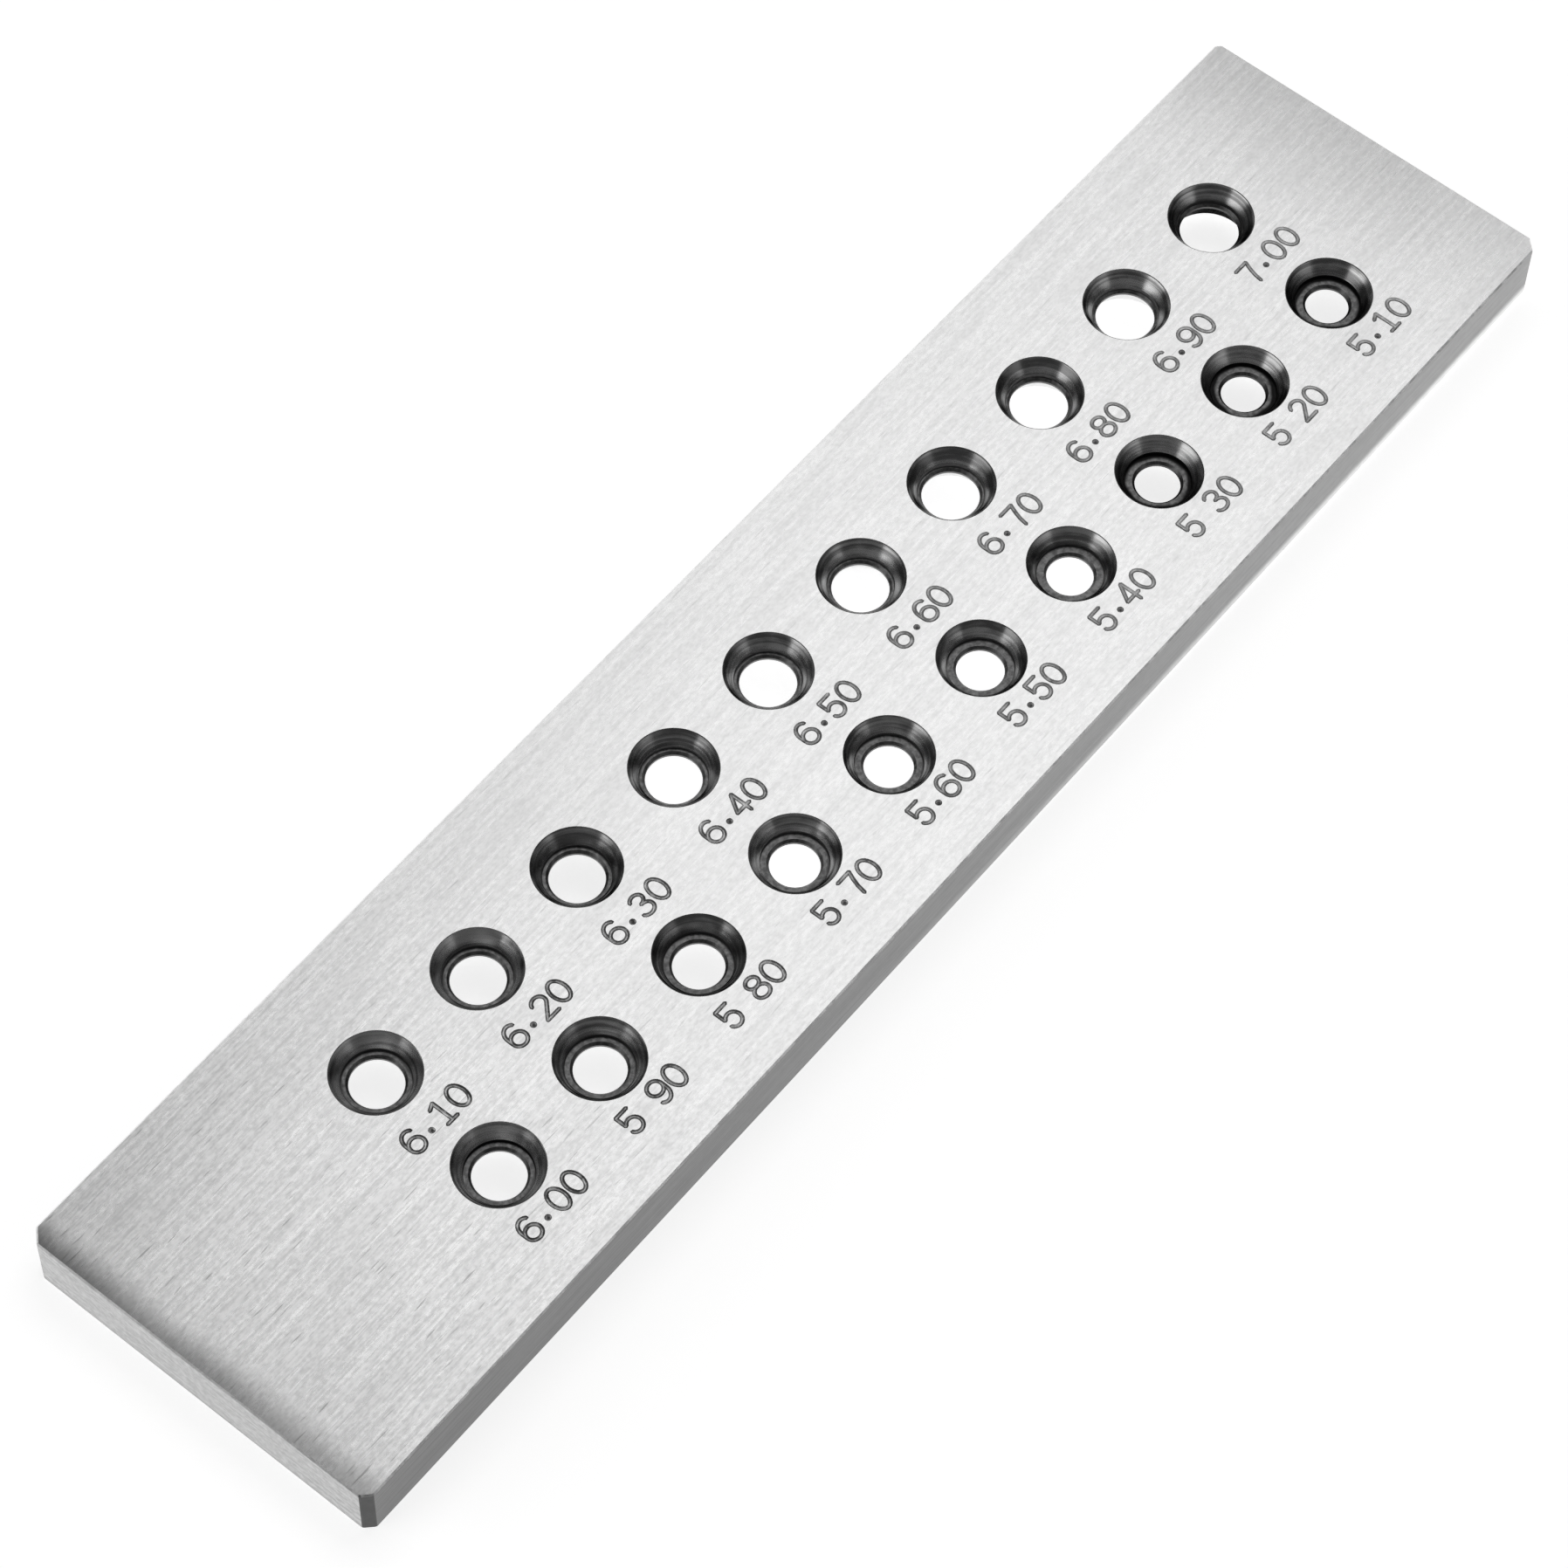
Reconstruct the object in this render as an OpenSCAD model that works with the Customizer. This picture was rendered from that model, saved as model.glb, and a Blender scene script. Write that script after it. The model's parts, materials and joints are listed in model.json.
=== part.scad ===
// Wire draw plate: a flat steel plate that carries two rows of round carbide dies.
// The origin is the middle of the back face. +Z is the numbered front face, where the wire leaves.
// +X runs from the blank grip end to the far end, and +Y from the row of small dies to the row of large ones.

/* [Plate] */
// Thickness of the steel plate
plate_t = 8; // [7.2:0.1:12]
// From the grip end to the first column of holes
grip_end = 37.7; // [16:0.1:80]
// From the last column of holes to the far end
far_end = 21.8; // [9:0.1:60]
// From the long edge to the row of small dies
small_edge = 14.8; // [9:0.1:30]
// From the row of large dies to the other long edge
large_edge = 15.2; // [9:0.1:30]
// Leg of the flat ground on each upright corner
corner_cut = 1.2; // [0.5:0.1:4]
// Leg of the chamfer along the top and bottom edges
edge_break = 0.2; // [0.1:0.05:1]

/* [Rows] */
// Dies in each row
per_row = 10; // [2:1:14]
// Distance between the holes of a row
hole_pitch = 16.5; // [15:0.1:24]
// Distance between the two rows
row_gap = 17.2; // [15:0.1:30]

/* [Mouths] */
// Diameter of the front mouth at the face
mouth_d = 10.2; // [9.4:0.1:11]
// Diameter of the back mouth at the face
back_mouth_d = 14; // [12.6:0.1:14.8]
// Full angle of both mouths
mouth_angle = 70; // [60:1:90]
// Diameter where the front mouth ends and the throat starts
throat_d = 7.8; // [7.6:0.02:9]
// Height of the throat between the front mouth and the die
throat_h = 0.45; // [0.2:0.05:0.8]
// Full angle of the throat
throat_angle = 20; // [10:1:36]

/* [Dies] */
// Bore of the smallest die
first_bore = 5.1; // [4:0.05:5.4]
// Growth of the bore from each die to the next
bore_step = 0.1; // [0.02:0.01:0.11]
// Outside diameter of a die
die_d = 12; // [11.5:0.1:13.5]
// Height of a die
die_h = 3.2; // [2.2:0.1:3.9]
// Radial gap between a die and its seat, none for a press fit
die_gap = 0; // [0:0.01:0.1]
// Height of the straight bearing that sizes the wire
bearing_h = 0.3; // [0.2:0.05:1.4]
// Leg of the relief around the bearing on the exit side
relief = 0.3; // [0.1:0.05:0.4]
// Width of the flat rim around the entry funnel
funnel_rim = 0.9; // [0.6:0.05:1.4]
// Leg of the chamfer around both outer edges of a die
die_chamfer = 0.3; // [0.1:0.05:0.5]

/* [Hidden] */
$fn = 96;
// How far each cutter runs past the face that it opens
overrun = 1;

// Plate outline, worked out from the pattern and the margins around it
plate_len = grip_end + (per_row - 1) * hole_pitch + far_end;
plate_w = small_edge + row_gap + large_edge;
first_x = grip_end - plate_len / 2;
small_y = small_edge - plate_w / 2;

// Levels above the back face
mouth_slope = tan(mouth_angle / 2);
throat_slope = tan(throat_angle / 2);
seat_r = die_d / 2 + die_gap;
throat_top = plate_t - (mouth_d - throat_d) / 2 / mouth_slope;
shoulder = throat_top - throat_h;
back_mouth_h = (back_mouth_d / 2 - seat_r) / mouth_slope;

// Names and places of the dies, counted from the smallest: along the small row from the far end
// to the grip end, then back along the large row.
die_count = 2 * per_row;
die_names = [for (k = [1 : die_count]) str("die_", k < 10 ? "0" : "", k)];
function bore_d(k) = first_bore + k * bore_step;
function column(k) = k < per_row ? per_row - 1 - k : k - per_row;
function place(k) = [first_x + column(k) * hole_pitch, small_y + (k < per_row ? 0 : row_gap)];

// A rectangle about the origin with its four corners cut at 45 degrees
module cut_rectangle(length, width, cut) {
  x = length / 2;
  y = width / 2;
  polygon([
    [x - cut, -y], [x, cut - y], [x, y - cut], [x - cut, y],
    [cut - x, y], [-x, y - cut], [-x, cut - y], [cut - x, -y]
  ]);
}

// The plate before drilling: its outline, its cross-section and its long section, each run right through
module blank() {
  intersection() {
    linear_extrude(plate_t) cut_rectangle(plate_len, plate_w, corner_cut);
    translate([-plate_len / 2, 0, plate_t / 2])
      rotate([90, 0, 90])
        linear_extrude(plate_len) cut_rectangle(plate_w, plate_t, edge_break);
    translate([0, plate_w / 2, plate_t / 2])
      rotate([90, 0, 0])
        linear_extrude(plate_w) cut_rectangle(plate_len, plate_t, edge_break);
  }
}

// Everything that is cut away for one die, from the back mouth through the seat and throat to the front mouth
module seat_cutter() {
  rotate_extrude()
    polygon([
      [0, -overrun],
      [back_mouth_d / 2 + overrun * mouth_slope, -overrun],
      [seat_r, back_mouth_h],
      [seat_r, shoulder],
      [throat_d / 2 - throat_h * throat_slope, shoulder],
      [throat_d / 2, throat_top],
      [mouth_d / 2 + overrun * mouth_slope, plate_t + overrun],
      [0, plate_t + overrun]
    ]);
}

module draw_plate() {
  color([0.80, 0.81, 0.82])
    difference() {
      blank();
      for (k = [0 : die_count - 1]) translate(place(k)) seat_cutter();
    }
}

// One die, standing on its entry side: funnel, bearing and relief inside, a chamfered cylinder outside
module die(k) {
  outer = die_d / 2;
  bore = bore_d(k) / 2;
  color([0.36, 0.37, 0.39])
    translate([place(k).x, place(k).y, shoulder - die_h])
      rotate_extrude()
        polygon([
          [outer - die_chamfer - funnel_rim, 0],
          [outer - die_chamfer, 0],
          [outer, die_chamfer],
          [outer, die_h - die_chamfer],
          [outer - die_chamfer, die_h],
          [bore + relief, die_h],
          [bore, die_h - relief],
          [bore, die_h - relief - bearing_h]
        ]);
}

draw_plate();
for (k = [0 : die_count - 1]) die(k);
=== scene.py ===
"""Looks of a wire draw plate: the ground steel plate with its stamped sizes, and the carbide dies in it."""

import json
from math import cos, pi, radians, sin, tan

import bmesh
import bpy
from mathutils import Matrix, Quaternion, Vector


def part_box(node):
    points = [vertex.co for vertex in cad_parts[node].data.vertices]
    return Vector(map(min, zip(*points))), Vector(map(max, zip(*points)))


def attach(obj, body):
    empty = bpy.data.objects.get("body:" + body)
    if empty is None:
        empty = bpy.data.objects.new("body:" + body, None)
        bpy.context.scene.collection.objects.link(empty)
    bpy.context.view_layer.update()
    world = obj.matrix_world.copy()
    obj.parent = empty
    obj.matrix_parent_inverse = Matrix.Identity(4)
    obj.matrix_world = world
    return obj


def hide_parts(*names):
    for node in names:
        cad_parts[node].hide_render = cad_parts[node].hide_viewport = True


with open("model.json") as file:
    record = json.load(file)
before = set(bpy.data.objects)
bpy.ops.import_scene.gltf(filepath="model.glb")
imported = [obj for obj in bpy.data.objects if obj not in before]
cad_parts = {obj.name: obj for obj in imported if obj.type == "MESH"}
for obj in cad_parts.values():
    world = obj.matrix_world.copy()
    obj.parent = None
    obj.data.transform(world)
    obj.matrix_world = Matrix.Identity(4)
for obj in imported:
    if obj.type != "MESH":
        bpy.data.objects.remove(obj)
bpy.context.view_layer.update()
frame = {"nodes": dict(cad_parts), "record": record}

MM = 0.001
UP = (0.0, 0.0, 1.0)
plate_low, plate_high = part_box("draw_plate")
bores = [mount for mount in frame["record"]["mounts"] if mount["kind"] == "bore"]

# Rows of holes, their places rounded to so many decimals
DECIMALS = 6
columns = sorted({round(bore["pos_m"][0], DECIMALS) for bore in bores})
rows = sorted({round(bore["pos_m"][1], DECIMALS) for bore in bores})
PITCH = columns[1] - columns[0]
ROW_MIDDLE = sum(rows) / 2
ROW_REACH = (rows[1] - rows[0]) / 2

# Plate edges: the cut at each corner, the softening of the cuts, and the break along the level edges
GRIP_LARGE_CUT = 1.5 * MM
GRIP_SMALL_CUT = 1.05 * MM
FAR_LARGE_CUT = 0.55 * MM
FAR_SMALL_CUT = 1.4 * MM
CORNER_REACH = 0.5 * MM
CORNER_SOFT = 0.2 * MM
CORNER_STEPS = 3
EDGE_BREAK = 0.2 * MM

# Share of a face's normal that makes it level, or a slope
LEVEL = 0.9
SLOPING = 0.3

# Clean-up of a mesh: points that count as one, width of a sliver that goes, angle that keeps an edge sharp
MERGE_GAP = 0.001 * MM
SLIVER = 0.0005 * MM
CREASE_ANGLE = radians(22)

# Seats, mouths and throats, from the back face to the front face
BACK_MOUTH_R = 7.0 * MM
SEAT_R = 6.0 * MM
MOUTH_R = 5.1 * MM
MOUTH_SLOPE = tan(radians(35))
THROAT_R = 3.9 * MM
THROAT_H = 0.45 * MM
THROAT_SLOPE = tan(radians(10))
RIM_BREAK = 0.06 * MM
RIM_SLOPE = tan(radians(60))
OVERRUN = 1.0 * MM
THROAT_TOP = plate_high.z - (MOUTH_R - THROAT_R) / MOUTH_SLOPE
SEAT_STEPS = 72

# Sizes with a thick dark ring above the die, partly residue and partly painted shade, and those where it
# covers the die as well
RESIDUE_AND_SHADE_SIZES = ("5.10", "5.20", "5.30", "6.00", "7.00")
RESIDUE_AND_SHADE_DIES = ("5.10", "5.20", "5.30", "7.00")

# Dies this near to the grip end have dark funnels
DARK_FUNNEL_X = -20 * MM

# Stamped sizes: a character's centre lines fill a box of this width and height
FIGURE_W = 2.0 * MM
FIGURE_H = 2.9 * MM
FIGURE_PLACES = (-3.65 * MM, -1.4 * MM, 0.95 * MM, 3.5 * MM)
LARGE_ROW_DROP = 8.5 * MM
SMALL_ROW_DROP = 7.4 * MM
UNPOINTED = ("5.20", "5.30", "5.80", "5.90")
POINT_HEIGHT = 0.85 * MM
POINT_R = 0.4 * MM
POINT_DEPTH = 0.16 * MM
POINT_STEPS = 32

# Grooves of the figures: round bars that cut so wide and so deep
GROOVE_W = 0.54 * MM
GROOVE_DEPTH = 0.08 * MM
GROOVE_R = (GROOVE_W ** 2 / 4 + GROOVE_DEPTH ** 2) / (2 * GROOVE_DEPTH)
GROOVE_STEPS = 4
STAMP_LEVEL = plate_high.z + GROOVE_R - GROOVE_DEPTH
CLOSED_GAP = 0.01 * MM

# A groove's round end, as distance past the end and width there, in groove radii
ROUND_END = ((0.5, 0.87), (0.87, 0.5), (1.0, 0.1))

# Bows of the figures: degrees between two points, and the fewest steps
BOW_STEP = 15
BOW_LEAST = 4

# Studio floor: radius of the flat and of the cove around it, with the cove's steps
FLOOR_R = 2.0
FLOOR_STEPS = 64
COVE_R = 1.0
COVE_STEPS = 8
COVE_STEP_ANGLE = radians(9)

# Paper's own glow: the camera sees white where the lamps reach it, and the shadow beside the plate
CAMERA_GLOW = 0.78
MIRROR_GLOW = 0.93
SKY_GLOW = 0.1

# Camera
CAMERA_AT = Vector((-0.25298, -0.18672, 0.50444))
CAMERA_AIM = Vector((-0.00874, -0.00077, 0.004))
CAMERA_ROLL = radians(2.118)
CAMERA_LENS = 121.74
SENSOR_WIDTH = 36.0

# Most of a noise lies between these two levels
NOISE_LOW = 0.3
NOISE_HIGH = 0.7
NOISE_MIDDLE = 0.5

# Material slots of the plate
FACE, EDGE, SIDE, END, CORNER, MOUTH, THROAT, RESIDUE_AND_SHADE, STAMPED = range(9)


class Signal:
    """A socket in a finish. Python's operators on it add Math nodes."""

    def __init__(self, finish, socket):
        self.finish = finish
        self.socket = socket

    def math(self, operation, *others):
        sockets = dict(enumerate((self, *others)))
        return self.finish.node("ShaderNodeMath", {"operation": operation}, sockets)

    def __add__(self, other):
        return self.math("ADD", other)

    def __sub__(self, other):
        return self.math("SUBTRACT", other)

    def __rsub__(self, other):
        return self.math("MULTIPLY_ADD", -1.0, other)

    def __mul__(self, other):
        return self.math("MULTIPLY", other)

    __radd__ = __add__
    __rmul__ = __mul__


class Finish:
    """A node material in the making."""

    def __init__(self, name):
        self.material = bpy.data.materials.new(name)
        self.material.use_nodes = True
        self.tree = self.material.node_tree
        self.tree.nodes.clear()

    def node(self, kind, settings=None, sockets=None, out=0):
        made = self.tree.nodes.new(kind)
        for name, value in (settings or {}).items():
            setattr(made, name, value)
        for name, value in (sockets or {}).items():
            if isinstance(value, Signal):
                self.tree.links.new(value.socket, made.inputs[name])
            else:
                made.inputs[name].default_value = value
        return Signal(self, made.outputs[out]) if made.outputs else None

    def place(self):
        return self.node("ShaderNodeTexCoord", out="Object")

    def along(self, axis):
        return self.node("ShaderNodeSeparateXYZ", {}, {0: self.place()}, out=axis)

    def facing_up(self):
        """One on a face that looks up, nought on a wall, and less than nought below."""
        across = self.node("ShaderNodeNewGeometry", out="True Normal")
        return self.node("ShaderNodeSeparateXYZ", {}, {0: across}, out="Z")

    def from_hole_axis(self):
        """Distance from the axis of the nearest hole."""
        x = (self.along("X") - columns[0] + PITCH / 2).math("FLOORED_MODULO", PITCH) - PITCH / 2
        y = (self.along("Y") - ROW_MIDDLE).math("ABSOLUTE") - ROW_REACH
        return (x * x + y * y).math("SQRT")

    def noise(self, stretch, detail=2.0, rough=0.5):
        """Noise that repeats so many times a metre along each axis."""
        spot = self.node("ShaderNodeVectorMath", {"operation": "MULTIPLY"}, {0: self.place(), 1: stretch})
        sockets = {"Vector": spot, "Scale": 1.0, "Detail": detail, "Roughness": rough}
        return self.node("ShaderNodeTexNoise", {}, sockets)

    def grain(self, repeats, detail=2.0):
        """Noise that is the same along every axis."""
        return self.noise((repeats, repeats, repeats), detail)

    def remap(self, value, low, high, to_low=0.0, to_high=1.0):
        """A smooth run from to_low to to_high while the value goes from low to high."""
        sockets = {"Value": value, "From Min": low, "From Max": high, "To Min": to_low, "To Max": to_high}
        return self.node("ShaderNodeMapRange", {"interpolation_type": "SMOOTHSTEP"}, sockets)

    def gloss(self, noise, smooth, rough):
        """Roughness that wanders between two values with a noise."""
        return self.remap(noise, NOISE_LOW, NOISE_HIGH, smooth, rough)

    def mix(self, share, first, second):
        return self.node("ShaderNodeMix", {"data_type": "RGBA"}, {0: share, 6: first, 7: second}, out=2)

    def tones(self, share, start, end):
        """A grey that goes from one tone to another with the share."""
        return self.mix(share, grey(start), grey(end))

    def bump(self, height, depth, strength=1.0):
        return self.node("ShaderNodeBump", {}, {"Height": height, "Distance": depth, "Strength": strength})

    def metal(self, **sockets):
        """Ends the tree in a metal; a socket's name is written with underscores."""
        named = {name.replace("_", " ").title(): value for name, value in sockets.items()}
        shader = self.node("ShaderNodeBsdfPrincipled", {}, {"Metallic": 1.0, **named})
        return self.close(shader)

    def close(self, shader):
        self.node("ShaderNodeOutputMaterial", {}, {"Surface": shader})
        return self.material


def grey(value):
    return (value, value, value, 1.0)


def ground_face():
    """The large faces: bright steel ground in short lines, coarser towards the grip end, with painted shade
    at the grip end, along the large-row side and at the far end.
    """
    f = Finish("ground steel")
    along = f.along("X")
    across = f.along("Y")
    lines = f.noise((100.0, 3400.0, 3400.0))
    streaks = f.noise((70.0, 1500.0, 1500.0))
    specks = f.noise((1500.0, 2800.0, 2800.0))
    clouds = f.noise((60.0, 90.0, 90.0), detail=3.0)
    scratches = f.remap(f.noise((260.0, 3000.0, 3000.0), detail=1.0), 0.66, 0.76)

    coarse = f.remap(along, -20 * MM, -95 * MM)
    shift = coarse * 0.18
    drawn = lines * (0.22 + shift) + streaks * 0.2 + specks * (0.58 - shift)
    dark = f.tones(coarse, start=0.79, end=0.71)
    light = f.tones(coarse, start=0.90, end=0.97)
    ground = f.mix(f.remap(drawn, 0.36, 0.64), dark, light)
    worn = f.mix(scratches * (0.2 + coarse * 0.4), ground, grey(0.3))

    # Painted shade: a ragged dark band at the grip end, a darkening along the large-row side towards the
    # grip, and a darkening at the far end
    ragged = 2 * MM
    grip_edge = plate_low.x + (clouds - NOISE_MIDDLE) * ragged + (lines - NOISE_MIDDLE) * ragged
    grip_shade = f.remap(along - grip_edge, 4.2 * MM, 0.0) * f.remap(across, -18 * MM, 2 * MM, 0.5, 0.67)
    side_shade = f.remap(along, 40 * MM, -95 * MM) * f.remap(across, 4 * MM, 23 * MM, 0.0, 0.16)
    far_shade = f.remap(along, 84 * MM, 106 * MM, 0.0, 0.25) * f.remap(across, -23 * MM, 0.0, 0.6, 1.0)
    return f.metal(
        base_color=f.mix(grip_shade + side_shade + far_shade, worn, grey(0.05)),
        roughness=f.gloss(streaks, smooth=0.25, rough=0.31),
        normal=f.bump(lines, depth=0.004 * MM, strength=0.4),
    )


def broken_edge():
    """The broken edges: bright where the stone passed."""
    f = Finish("edge steel")
    nicks = f.grain(700.0, detail=3.0)
    return f.metal(
        base_color=f.tones(f.remap(nicks, 0.35, 0.6), start=0.6, end=0.9),
        roughness=f.gloss(nicks, smooth=0.3, rough=0.45),
        normal=f.bump(nicks, depth=0.02 * MM),
    )


def satin_side():
    """The long sides: speckled steel ground, darker than the faces as painted shade and darkest towards the
    grip end, with a painted reflection as a bright foot by the small row.
    """
    f = Finish("side steel")
    along = f.along("X")
    lines = f.noise((80.0, 4000.0, 4000.0), detail=3.0)
    speckle = f.noise((900.0, 1500.0, 1500.0), detail=3.0)
    relief = lines * 0.5 + speckle * 0.5
    tone = f.remap(relief, 0.32, 0.68)
    # Painted shade: both tones are much darker than the faces' steel, the one at the grip end darkest
    painted_grip_tone = f.tones(tone, start=0.115, end=0.19)
    painted_far_tone = f.tones(tone, start=0.24, end=0.32)
    ground = f.mix(f.remap(along, plate_low.x, plate_high.x), painted_grip_tone, painted_far_tone)
    # The foot is a painted reflection: a bright band low on the small-row side, growing towards the far end
    small_side = f.remap(f.along("Y"), 0.0, plate_low.y)
    foot = f.remap(f.along("Z"), 2.2 * MM, 0.5 * MM) * f.remap(along, -40 * MM, 95 * MM) * small_side
    return f.metal(
        base_color=f.mix(foot, ground, grey(0.8)),
        roughness=f.gloss(speckle, smooth=0.36, rough=0.48),
        normal=f.bump(relief, depth=0.015 * MM, strength=0.7),
    )


def satin_end():
    """The short ends: steel ground across the plate, with painted shade along the foot, where the plate
    meets the floor.
    """
    f = Finish("end steel")
    lines = f.noise((5000.0, 80.0, 5000.0), detail=3.0)
    speckle = f.noise((1700.0, 1300.0, 1700.0), detail=4.0, rough=0.6)
    tone = f.remap(lines * 0.4 + speckle * 0.6, 0.36, 0.64)
    # Painted shade: darker along the bottom of the end, where the plate meets the floor
    foot = f.remap(f.along("Z"), 1.2 * MM, 0.2 * MM, 0.0, 0.4)
    return f.metal(
        base_color=f.mix(foot, f.tones(tone, start=0.35, end=0.58), grey(0.18)),
        roughness=f.gloss(speckle, smooth=0.36, rough=0.48),
        normal=f.bump(lines * 0.5 + speckle * 0.5, depth=0.015 * MM, strength=0.7),
    )


def cut_corner():
    """The flats on the upright corners: painted shade at the grip end, painted light at the far end."""
    f = Finish("corner steel")
    speckle = f.noise((1300.0, 1300.0, 900.0), detail=3.0)
    # Painted shade at the grip end and painted light at the far end, on the same steel
    painted_grip_tone = f.tones(speckle, start=0.02, end=0.06)
    painted_far_tone = f.tones(speckle, start=0.5, end=0.6)
    return f.metal(
        base_color=f.mix(f.remap(f.along("X"), plate_low.x, plate_high.x), painted_grip_tone, painted_far_tone),
        roughness=f.gloss(speckle, smooth=0.3, rough=0.42),
        normal=f.bump(speckle, depth=0.015 * MM, strength=0.7),
    )


def turned_mouth():
    """The conical mouths: steel with the fine rings of the countersink, darker low down near the throat."""
    f = Finish("turned steel")
    rings = f.noise((60.0, 60.0, 3200.0))
    bands = f.noise((40.0, 40.0, 1300.0), detail=1.0)
    stain = f.noise((500.0, 500.0, 900.0), detail=3.0)
    tone = f.remap(rings * 0.4 + bands * 0.4 + stain * 0.2, 0.42, 0.58)
    above_throat = (f.along("Z") - THROAT_TOP).math("ABSOLUTE")
    darkening = f.remap(above_throat, 0.5 * MM, 0.0, 0.0, 0.3)
    return f.metal(
        base_color=f.mix(darkening, f.tones(tone, start=0.26, end=0.70), grey(0.06)),
        roughness=f.gloss(stain, smooth=0.19, rough=0.26),
        # Painted shade: the nearly black specular tint dims the glancing reflections in the mouths
        specular_tint=grey(0.05),
        normal=f.bump(rings, depth=0.008 * MM, strength=0.6),
    )


def dark_throat(name, dark, light):
    """The throat above a die: nearly black, partly scale and residue that no tool has reached, partly
    painted shade of the step above the die.
    """
    f = Finish(name)
    scale = f.grain(3000.0, detail=3.0)
    return f.metal(
        base_color=f.tones(scale, start=dark, end=light),
        roughness=f.gloss(scale, smooth=0.5, rough=0.7),
        normal=f.bump(scale, depth=0.02 * MM),
    )


def stamped_groove():
    """The stamped figures: dull steel, bruised by the punch, and nearly black in the points."""
    f = Finish("stamped steel")
    height = f.along("Z")
    grain = f.grain(2500.0, detail=3.0)
    bruises = f.grain(900.0)
    groove_floor = plate_high.z - GROOVE_DEPTH
    depth = f.remap(height, groove_floor, plate_high.z - 0.4 * GROOVE_DEPTH, 1.0, 0.0)
    pit = f.remap(height, groove_floor, plate_high.z - POINT_DEPTH)
    tone = f.remap(grain * 0.25 + bruises * 0.55 + depth * 0.2, 0.42, 0.62)
    coarse = f.remap(f.along("X"), 40 * MM, -60 * MM)
    dark = f.tones(coarse, start=0.42, end=0.17)
    light = f.tones(coarse, start=0.85, end=0.95)
    return f.metal(
        base_color=f.mix(pit, f.mix(tone, dark, light), grey(0.08)),
        roughness=f.gloss(grain, smooth=0.34, rough=0.5),
        normal=f.bump(grain, depth=0.02 * MM),
    )


def carbide(name, clean_reach, soot_reach, soot_tone, funnel_tone, edge_tone):
    """The dies: dark sintered carbide, darker on the front face beyond a ring around the bore, partly a
    dark joint and partly painted shade under the step, and with painted shade on the bore walls.
    """
    f = Finish(name)
    grain = f.grain(4000.0, detail=4.0)
    pits = f.grain(1700.0)
    patches = f.grain(260.0, detail=1.0)
    up = f.facing_up()
    ragged = 1.2 * MM
    funnel_change = 0.05
    reach = f.from_hole_axis() + (patches - NOISE_MIDDLE) * ragged
    # Darker outer ring of the front face: partly a dark joint, partly painted shade under the step
    darkening = f.remap(reach, clean_reach, soot_reach) * f.remap(up, 0.8, 0.95)
    front = f.tones(f.remap(grain * 0.4 + pits * 0.6, 0.38, 0.62), start=0.11, end=0.24)
    # Painted shade: walls that face sideways, such as the bore, are darker than the front face
    front_and_shaded_walls = f.mix(f.remap(up, 0.25, 0.95), grey(0.15), front)
    funnel = f.tones(grain, start=funnel_tone - funnel_change, end=funnel_tone + funnel_change)
    return f.metal(
        base_color=f.mix(darkening, f.mix(f.remap(up, -0.1, -0.35), front_and_shaded_walls, funnel), grey(soot_tone)),
        roughness=f.gloss(grain, smooth=0.3, rough=0.46),
        specular_tint=grey(edge_tone),
        normal=f.bump(grain, depth=0.01 * MM, strength=0.5),
    )


def studio_paper(name, glows):
    """Pale paper that takes the shadow, with a glow of its own for each kind of ray that is named."""
    f = Finish(name)
    fibres = f.grain(40.0)
    matt = f.node("ShaderNodeBsdfDiffuse", {}, {"Color": f.tones(fibres, start=0.86, end=0.88)})
    shader = matt
    for ray, level in glows.items():
        glow = f.node("ShaderNodeEmission", {}, {"Color": grey(level), "Strength": 1.0})
        lit = f.node("ShaderNodeAddShader", {}, {0: matt, 1: glow})
        seen = f.node("ShaderNodeLightPath", out=ray)
        shader = f.node("ShaderNodeMixShader", {}, {0: seen, 1: shader, 2: lit})
    return f.close(shader)


def size_of(bore):
    """The wire size as it is stamped."""
    return f"{2 * bore['dims']['r_mm']:.2f}"


def nearest_bore(spot):
    """The bore whose axis is closest to a spot."""
    def gap(bore):
        return (spot.xy - Vector(bore["pos_m"]).xy).length
    return min(bores, key=gap)


def new_object(name, data):
    made = bpy.data.objects.new(name, data)
    bpy.context.scene.collection.objects.link(made)
    return made


def mesh_object(name, bm):
    mesh = bpy.data.meshes.new(name)
    bm.to_mesh(mesh)
    bm.free()
    return new_object(name, mesh)


def bevel(bm, edges, width, steps=1):
    bmesh.ops.bevel(bm, geom=edges, offset=width, segments=steps, profile=0.5, affect="EDGES", material=-1)


def turn(bm, profile, x, y, steps):
    """Turns a profile of radii and heights once round the upright axis at x and y."""
    verts = [bm.verts.new((x + radius, y, height)) for radius, height in profile]
    edges = [bm.edges.new(pair) for pair in zip(verts, verts[1:])]
    bmesh.ops.spin(
        bm,
        geom=verts + edges,
        cent=(x, y, 0.0),
        axis=UP,
        angle=2 * pi,
        steps=steps,
        use_merge=True,
    )


def close_up(bm, gap):
    """Joins the points that meet, and turns the faces outwards."""
    bmesh.ops.remove_doubles(bm, verts=bm.verts, dist=gap)
    bmesh.ops.recalc_face_normals(bm, faces=bm.faces)


def carve(body, cutter):
    """Takes the cutter's solids out of the body for good, and removes the cutter."""
    cut = body.modifiers.new("carve", "BOOLEAN")
    cut.operation = "DIFFERENCE"
    cut.solver = "MANIFOLD"
    cut.object = cutter
    graph = bpy.context.evaluated_depsgraph_get()
    carved = bpy.data.meshes.new_from_object(body.evaluated_get(graph), depsgraph=graph)
    body.modifiers.clear()
    body.data = carved
    bpy.data.objects.remove(cutter)


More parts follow.
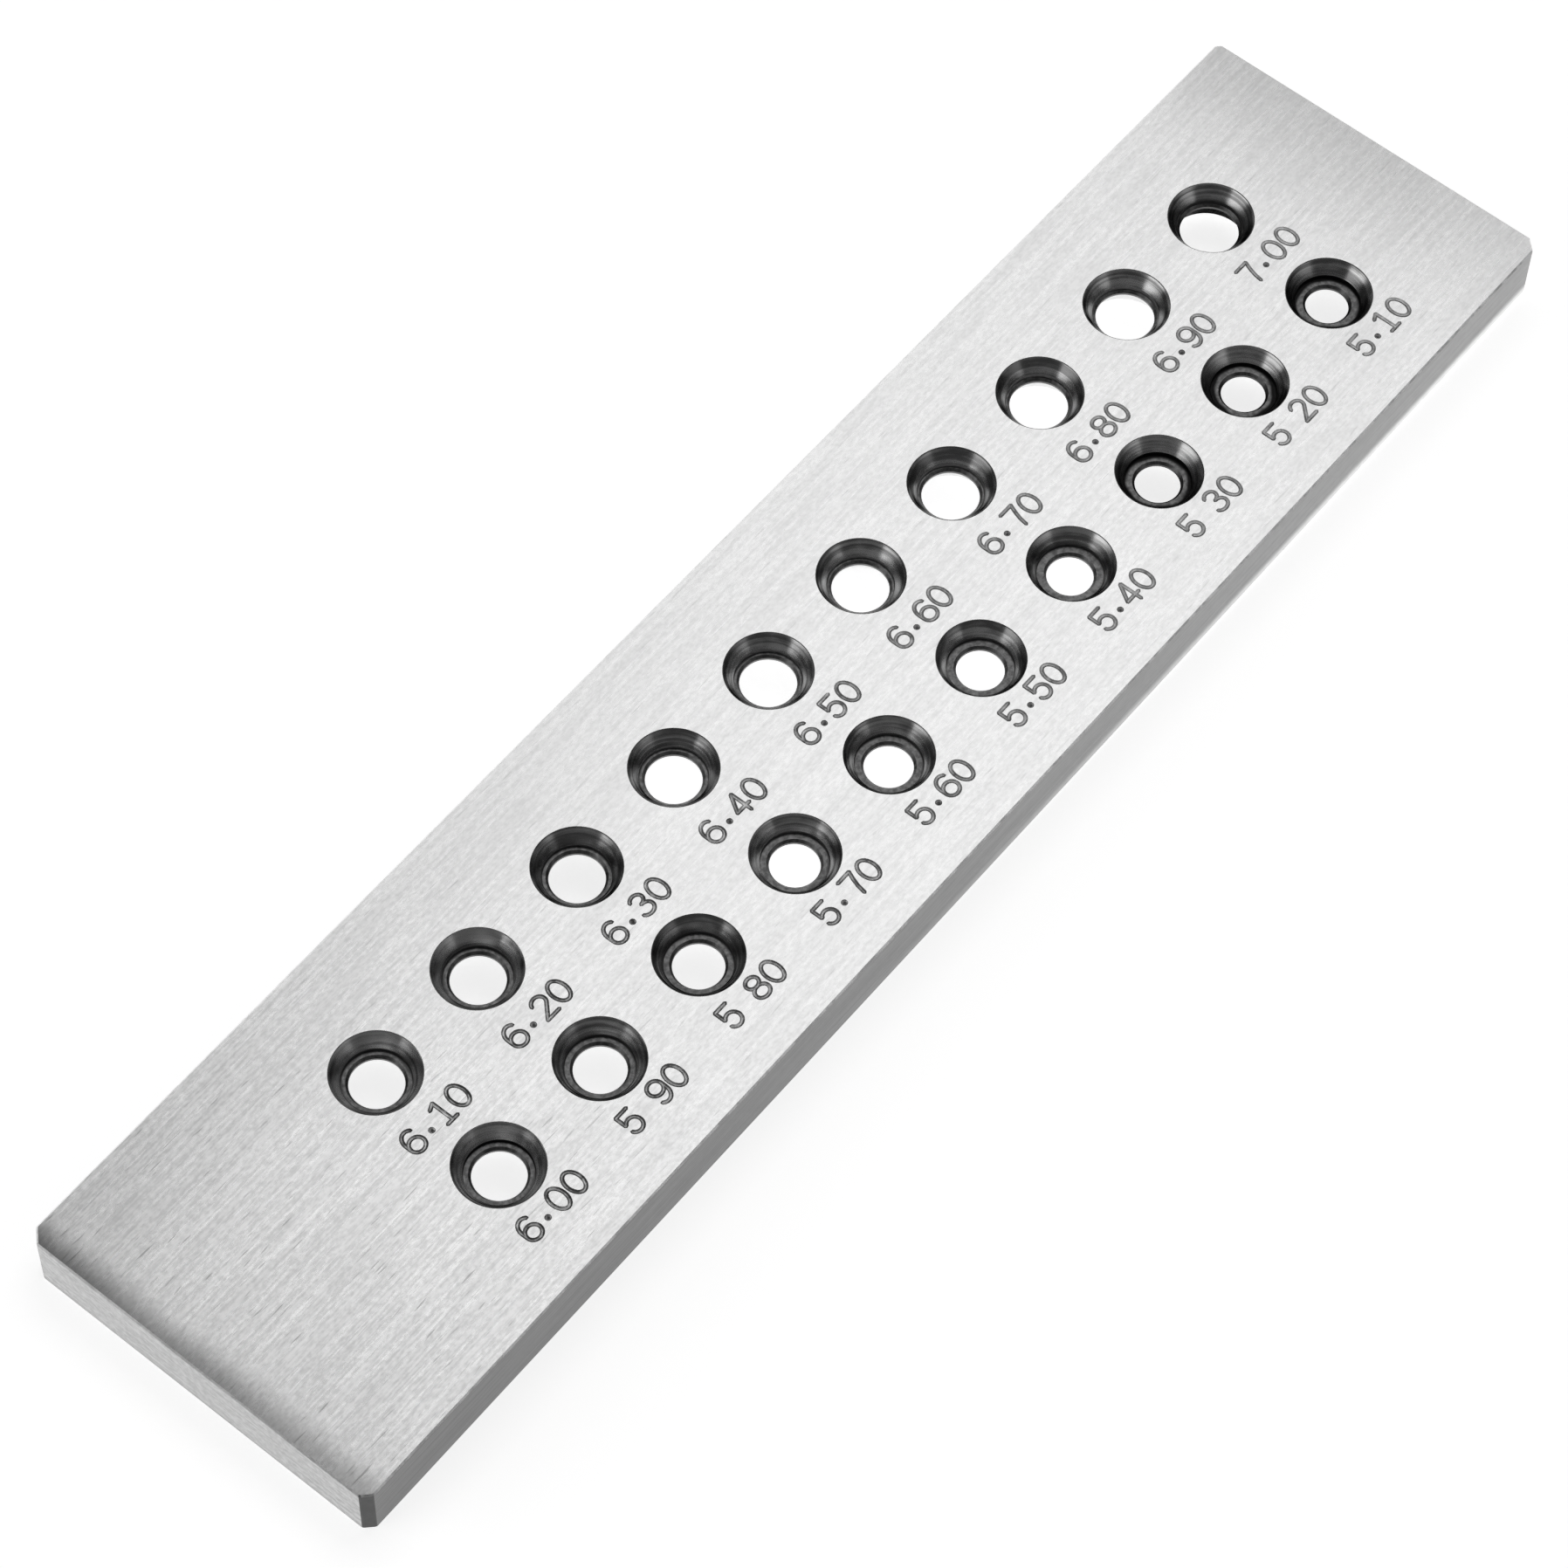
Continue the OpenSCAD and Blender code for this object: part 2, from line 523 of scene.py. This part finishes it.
def rise(edge):
    """How far an edge climbs."""
    first, second = edge.verts
    return abs(first.co.z - second.co.z)


def stands_at(edge, corner):
    """Whether both ends of an edge are at a corner of the plate, as seen from above."""
    return all((vert.co.xy - corner).length < CORNER_REACH for vert in edge.verts)


def plate_blank():
    """The plate before drilling: a block with cut corners and broken edges."""
    bm = bmesh.new()
    middle = (plate_low + plate_high) / 2
    size = plate_high - plate_low
    bmesh.ops.create_cube(bm, size=1.0, matrix=Matrix.Translation(middle) @ Matrix.Diagonal((*size, 1.0)))
    corners = (
        (plate_low.x, plate_high.y, GRIP_LARGE_CUT),
        (plate_low.x, plate_low.y, GRIP_SMALL_CUT),
        (plate_high.x, plate_high.y, FAR_LARGE_CUT),
        (plate_high.x, plate_low.y, FAR_SMALL_CUT),
    )
    for x, y, cut in corners:
        bevel(bm, [e for e in bm.edges if stands_at(e, Vector((x, y)))], cut)
    bevel(bm, [e for e in bm.edges if rise(e) > size.z / 2], CORNER_SOFT, CORNER_STEPS)
    bevel(bm, [e for e in bm.edges if rise(e) < size.z / 2], EDGE_BREAK)
    bm.normal_update()
    for face in bm.faces:
        along, across, up = (abs(share) for share in face.normal)
        if up > LEVEL:
            face.material_index = FACE
        elif min(along, across) > SLOPING > up:
            face.material_index = CORNER
        elif along > across:
            face.material_index = END
        else:
            face.material_index = EDGE if face.normal.z > SLOPING else SIDE
    return mesh_object("ground_plate", bm)


def seat_cutters():
    """All that is cut away for the dies, from the back mouths through seats and throats to the front."""
    top = plate_high.z
    shoulder = THROAT_TOP - THROAT_H
    lip_r = MOUTH_R + RIM_BREAK * (RIM_SLOPE - MOUTH_SLOPE)
    profile = (
        (0.0, -OVERRUN),
        (BACK_MOUTH_R + OVERRUN * MOUTH_SLOPE, -OVERRUN),
        (SEAT_R, (BACK_MOUTH_R - SEAT_R) / MOUTH_SLOPE),
        (SEAT_R, shoulder),
        (THROAT_R - THROAT_H * THROAT_SLOPE, shoulder),
        (THROAT_R, THROAT_TOP),
        (MOUTH_R - RIM_BREAK * MOUTH_SLOPE, top - RIM_BREAK),
        (lip_r, top),
        (lip_r, top + OVERRUN),
        (0.0, top + OVERRUN),
    )
    bm = bmesh.new()
    for bore in bores:
        x, y, _ = bore["pos_m"]
        turn(bm, profile, x, y, SEAT_STEPS)
    close_up(bm, MERGE_GAP)
    for face in bm.faces:
        middle = face.calc_center_median()
        # Throats of these sizes take the darkest finish, partly residue and partly painted shade
        throat = RESIDUE_AND_SHADE if size_of(nearest_bore(middle)) in RESIDUE_AND_SHADE_SIZES else THROAT
        face.material_index = throat if shoulder - RIM_BREAK < middle.z < THROAT_TOP else MOUTH
    return mesh_object("seat_cutters", bm)


def bow(x, y, wide, high, start, end):
    """Points along an ellipse's arc, from one angle to another in degrees, counted anticlockwise."""
    steps = max(BOW_LEAST, round(abs(end - start) / BOW_STEP))
    angles = (radians(start + (end - start) * i / steps) for i in range(steps + 1))
    return [(x + wide * cos(a), y + high * sin(a)) for a in angles]


def turned_over(strokes):
    return [[(1.0 - x, 1.0 - y) for x, y in stroke] for stroke in strokes]


# Strokes of the ten figures, in a box of width and height 1
FIGURES = {
    "0": [bow(0.5, 0.5, 0.48, 0.5, 0, 360)],
    "1": [[(0.54, 1.0), (0.54, 0.0)], [(0.54, 1.0), (0.12, 0.86)], [(0.14, 0.0), (0.92, 0.0)]],
    "2": [bow(0.5, 0.73, 0.45, 0.27, 165, -35) + [(0.04, 0.0)], [(0.04, 0.0), (0.96, 0.0)]],
    "3": [bow(0.46, 0.765, 0.42, 0.235, 155, -90), bow(0.46, 0.265, 0.48, 0.265, 90, -155)],
    "4": [[(0.66, 1.0), (0.0, 0.28)], [(0.0, 0.28), (1.0, 0.28)], [(0.7, 1.0), (0.7, 0.0)]],
    "5": [[(0.08, 1.0), (0.92, 1.0)], [(0.08, 1.0), (0.08, 0.52)], bow(0.48, 0.32, 0.46, 0.32, 142, -155)],
    "6": [bow(0.54, 0.58, 0.52, 0.42, 48, 180) + [(0.02, 0.32)], bow(0.5, 0.31, 0.48, 0.31, 0, 360)],
    "7": [[(0.02, 1.0), (0.98, 1.0)], [(0.98, 1.0), (0.78, 0.68), (0.62, 0.34), (0.54, 0.0)]],
    "8": [bow(0.5, 0.765, 0.42, 0.235, 0, 360), bow(0.5, 0.27, 0.48, 0.27, 0, 360)],
}
FIGURES["9"] = turned_over(FIGURES["6"])
MOST_STROKES = max(len(strokes) for strokes in FIGURES.values())


def add_groove(curve, points):
    """One stroke as a round bar, with round ends unless it closes on itself."""
    points = [Vector((x, y, STAMP_LEVEL)) for x, y in points]
    closed = (points[0] - points[-1]).length < CLOSED_GAP
    if closed:
        beads = [(p, 1.0) for p in points[:-1]]
    else:
        out = (points[0] - points[1]).normalized() * GROOVE_R
        on = (points[-1] - points[-2]).normalized() * GROOVE_R
        head = [(points[0] + out * past, width) for past, width in reversed(ROUND_END)]
        tail = [(points[-1] + on * past, width) for past, width in ROUND_END]
        beads = head + [(p, 1.0) for p in points] + tail
    spline = curve.splines.new("POLY")
    spline.points.add(len(beads) - 1)
    spline.use_cyclic_u = closed
    for point, (at, width) in zip(spline.points, beads):
        point.co = (*at, 1.0)
        point.radius = width


def figure_places():
    """Each stamped character with the middle of its box."""
    for bore in bores:
        x, y, _ = bore["pos_m"]
        size = size_of(bore)
        drop = LARGE_ROW_DROP if y > 0 else SMALL_ROW_DROP
        for character, along in zip(size, FIGURE_PLACES):
            if character != "." or size not in UNPOINTED:
                yield character, x + along, y - drop


def stamp(name, bm):
    """A cutter that leaves the stamped finish."""
    for face in bm.faces:
        face.material_index = STAMPED
    return mesh_object(name, bm)


def groove_cutter(layer):
    """The round bars that stamp one stroke of every figure."""
    curve = bpy.data.curves.new("strokes", "CURVE")
    curve.dimensions = "3D"
    curve.bevel_depth = GROOVE_R
    curve.bevel_resolution = GROOVE_STEPS
    curve.use_fill_caps = True
    for character, x, y in figure_places():
        left = x - FIGURE_W / 2
        foot = y - FIGURE_H / 2
        strokes = FIGURES.get(character, [])
        for stroke in strokes[layer:layer + 1]:
            add_groove(curve, [(left + u * FIGURE_W, foot + v * FIGURE_H) for u, v in stroke])
    bars = new_object("strokes", curve)
    bpy.context.view_layer.update()
    mesh = bpy.data.meshes.new_from_object(bars.evaluated_get(bpy.context.evaluated_depsgraph_get()))
    bpy.data.objects.remove(bars)
    bm = bmesh.new()
    bm.from_mesh(mesh)
    close_up(bm, MERGE_GAP)
    return stamp("groove_cutter", bm)


def point_cutter():
    """The round punch marks of the decimal points."""
    ball_r = (POINT_R ** 2 + POINT_DEPTH ** 2) / (2 * POINT_DEPTH)
    bm = bmesh.new()
    for character, x, y in figure_places():
        if character == ".":
            middle = Vector((x, y - FIGURE_H / 2 + POINT_HEIGHT, plate_high.z + ball_r - POINT_DEPTH))
            bmesh.ops.create_uvsphere(
                bm,
                u_segments=POINT_STEPS,
                v_segments=POINT_STEPS // 2,
                radius=ball_r,
                matrix=Matrix.Translation(middle),
            )
    return stamp("point_cutter", bm)


def crease(mesh):
    """Smooths a mesh, but keeps the edges where it turns sharply or one finish meets another."""
    mesh.shade_smooth()
    mesh.set_sharp_from_angle(angle=CREASE_ANGLE)
    bm = bmesh.new()
    bm.from_mesh(mesh)
    bmesh.ops.dissolve_degenerate(bm, dist=SLIVER, edges=bm.edges)
    for edge in bm.edges:
        finishes = {face.material_index for face in edge.link_faces}
        edge.smooth = edge.smooth and len(finishes) == 1
    bm.to_mesh(mesh)
    bm.free()


def ground_plate():
    """The plate: its blank, drilled for the dies and stamped."""
    plate = plate_blank()
    finishes = (
        ground_face(),
        broken_edge(),
        satin_side(),
        satin_end(),
        cut_corner(),
        turned_mouth(),
        # Throats: nearly black, partly scale and residue, partly painted shade of the step above the die
        dark_throat("scaled steel", dark=0.08, light=0.18),
        dark_throat("caked steel", dark=0.01, light=0.05),
        stamped_groove(),
    )
    for finish in finishes:
        plate.data.materials.append(finish)
    carve(plate, seat_cutters())
    carve(plate, point_cutter())
    for layer in range(MOST_STROKES):
        carve(plate, groove_cutter(layer))
    crease(plate.data)
    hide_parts("draw_plate")
    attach(plate, "root")


def dress_dies():
    """The dies keep their CAD meshes, and get their finish by their size and by their place along the
    plate.
    """
    face = {"clean_reach": 3.7 * MM, "soot_reach": 3.95 * MM, "soot_tone": 0.09, "edge_tone": 1.0}
    # The darkest dies: partly residue, partly painted shade, with a nearly black specular tint
    residue_and_shade_face = {"clean_reach": 3.2 * MM, "soot_reach": 3.6 * MM, "soot_tone": 0.012, "edge_tone": 0.05}
    clean = carbide("carbide", **face, funnel_tone=0.71)
    dark_funnel = carbide("sooty carbide", **face, funnel_tone=0.12)
    residue_and_shade = carbide("caked carbide", **residue_and_shade_face, funnel_tone=0.06)
    for number, bore in enumerate(bores, start=1):
        die = frame["nodes"][f"die_{number:02d}"]
        die.data.materials.clear()
        finish = dark_funnel if bore["pos_m"][0] < DARK_FUNNEL_X else clean
        die.data.materials.append(residue_and_shade if size_of(bore) in RESIDUE_AND_SHADE_DIES else finish)


def add_floor():
    """A round floor that curves up into a low wall."""
    angles = [COVE_STEP_ANGLE * step for step in range(1, COVE_STEPS + 1)]
    cove = [(FLOOR_R + COVE_R * sin(a), COVE_R * (1 - cos(a))) for a in angles]
    bm = bmesh.new()
    turn(bm, [(0.0, 0.0), (FLOOR_R, 0.0), *cove], 0.0, 0.0, FLOOR_STEPS)
    close_up(bm, MM)
    for face in bm.faces:
        face.material_index = int(face.calc_center_median().z > 0.0)
    floor = mesh_object("floor", bm)
    floor.data.shade_smooth()
    mirrored = {"Is Glossy Ray": MIRROR_GLOW, "Is Transmission Ray": MIRROR_GLOW}
    floor.data.materials.append(studio_paper("studio floor", {"Is Camera Ray": CAMERA_GLOW, **mirrored}))
    floor.data.materials.append(studio_paper("studio wall", {"Is Camera Ray": CAMERA_GLOW}))


def add_panel(name, at, aim, wide, tall, glow):
    """A soft rectangular lamp; glow is how bright its face looks."""
    lamp = bpy.data.lights.new(name, "AREA")
    lamp.shape = "RECTANGLE"
    lamp.size = wide
    lamp.size_y = tall
    lamp.energy = glow * pi * wide * tall
    holder = new_object(name, lamp)
    holder.location = at
    holder.rotation_euler = (Vector(aim) - Vector(at)).to_track_quat("-Z", "Y").to_euler()
    holder.visible_camera = False


def add_light():
    """Three soft panels and a dim even sky."""
    add_panel("overhead panel", at=(0.55, 0.20, 1.0), aim=(0.55, 0.20, 0.0), wide=0.78, tall=0.9, glow=1.05)
    add_panel("left panel", at=(-0.907, 0.623, 0.44), aim=(0.0, 0.0, 0.44), wide=0.96, tall=0.72, glow=1.05)
    add_panel("right panel", at=(0.41, -1.02, 0.40), aim=(0.0, 0.0, 0.40), wide=1.04, tall=0.6, glow=0.34)
    world = bpy.data.worlds.new("studio")
    world.use_nodes = True
    sky = world.node_tree.nodes["Background"]
    sky.inputs["Color"].default_value = grey(1.0)
    sky.inputs["Strength"].default_value = SKY_GLOW
    bpy.context.scene.world = world


def add_camera():
    data = bpy.data.cameras.new("camera")
    data.lens = CAMERA_LENS
    data.sensor_width = SENSOR_WIDTH
    camera = new_object("camera", data)
    camera.location = CAMERA_AT
    camera.rotation_mode = "QUATERNION"
    look = (CAMERA_AIM - CAMERA_AT).to_track_quat("-Z", "Y")
    camera.rotation_quaternion = look @ Quaternion(UP, CAMERA_ROLL)
    bpy.context.scene.camera = camera


ground_plate()
dress_dies()
add_floor()
add_light()
add_camera()
bpy.context.scene.view_settings.view_transform = "Standard"
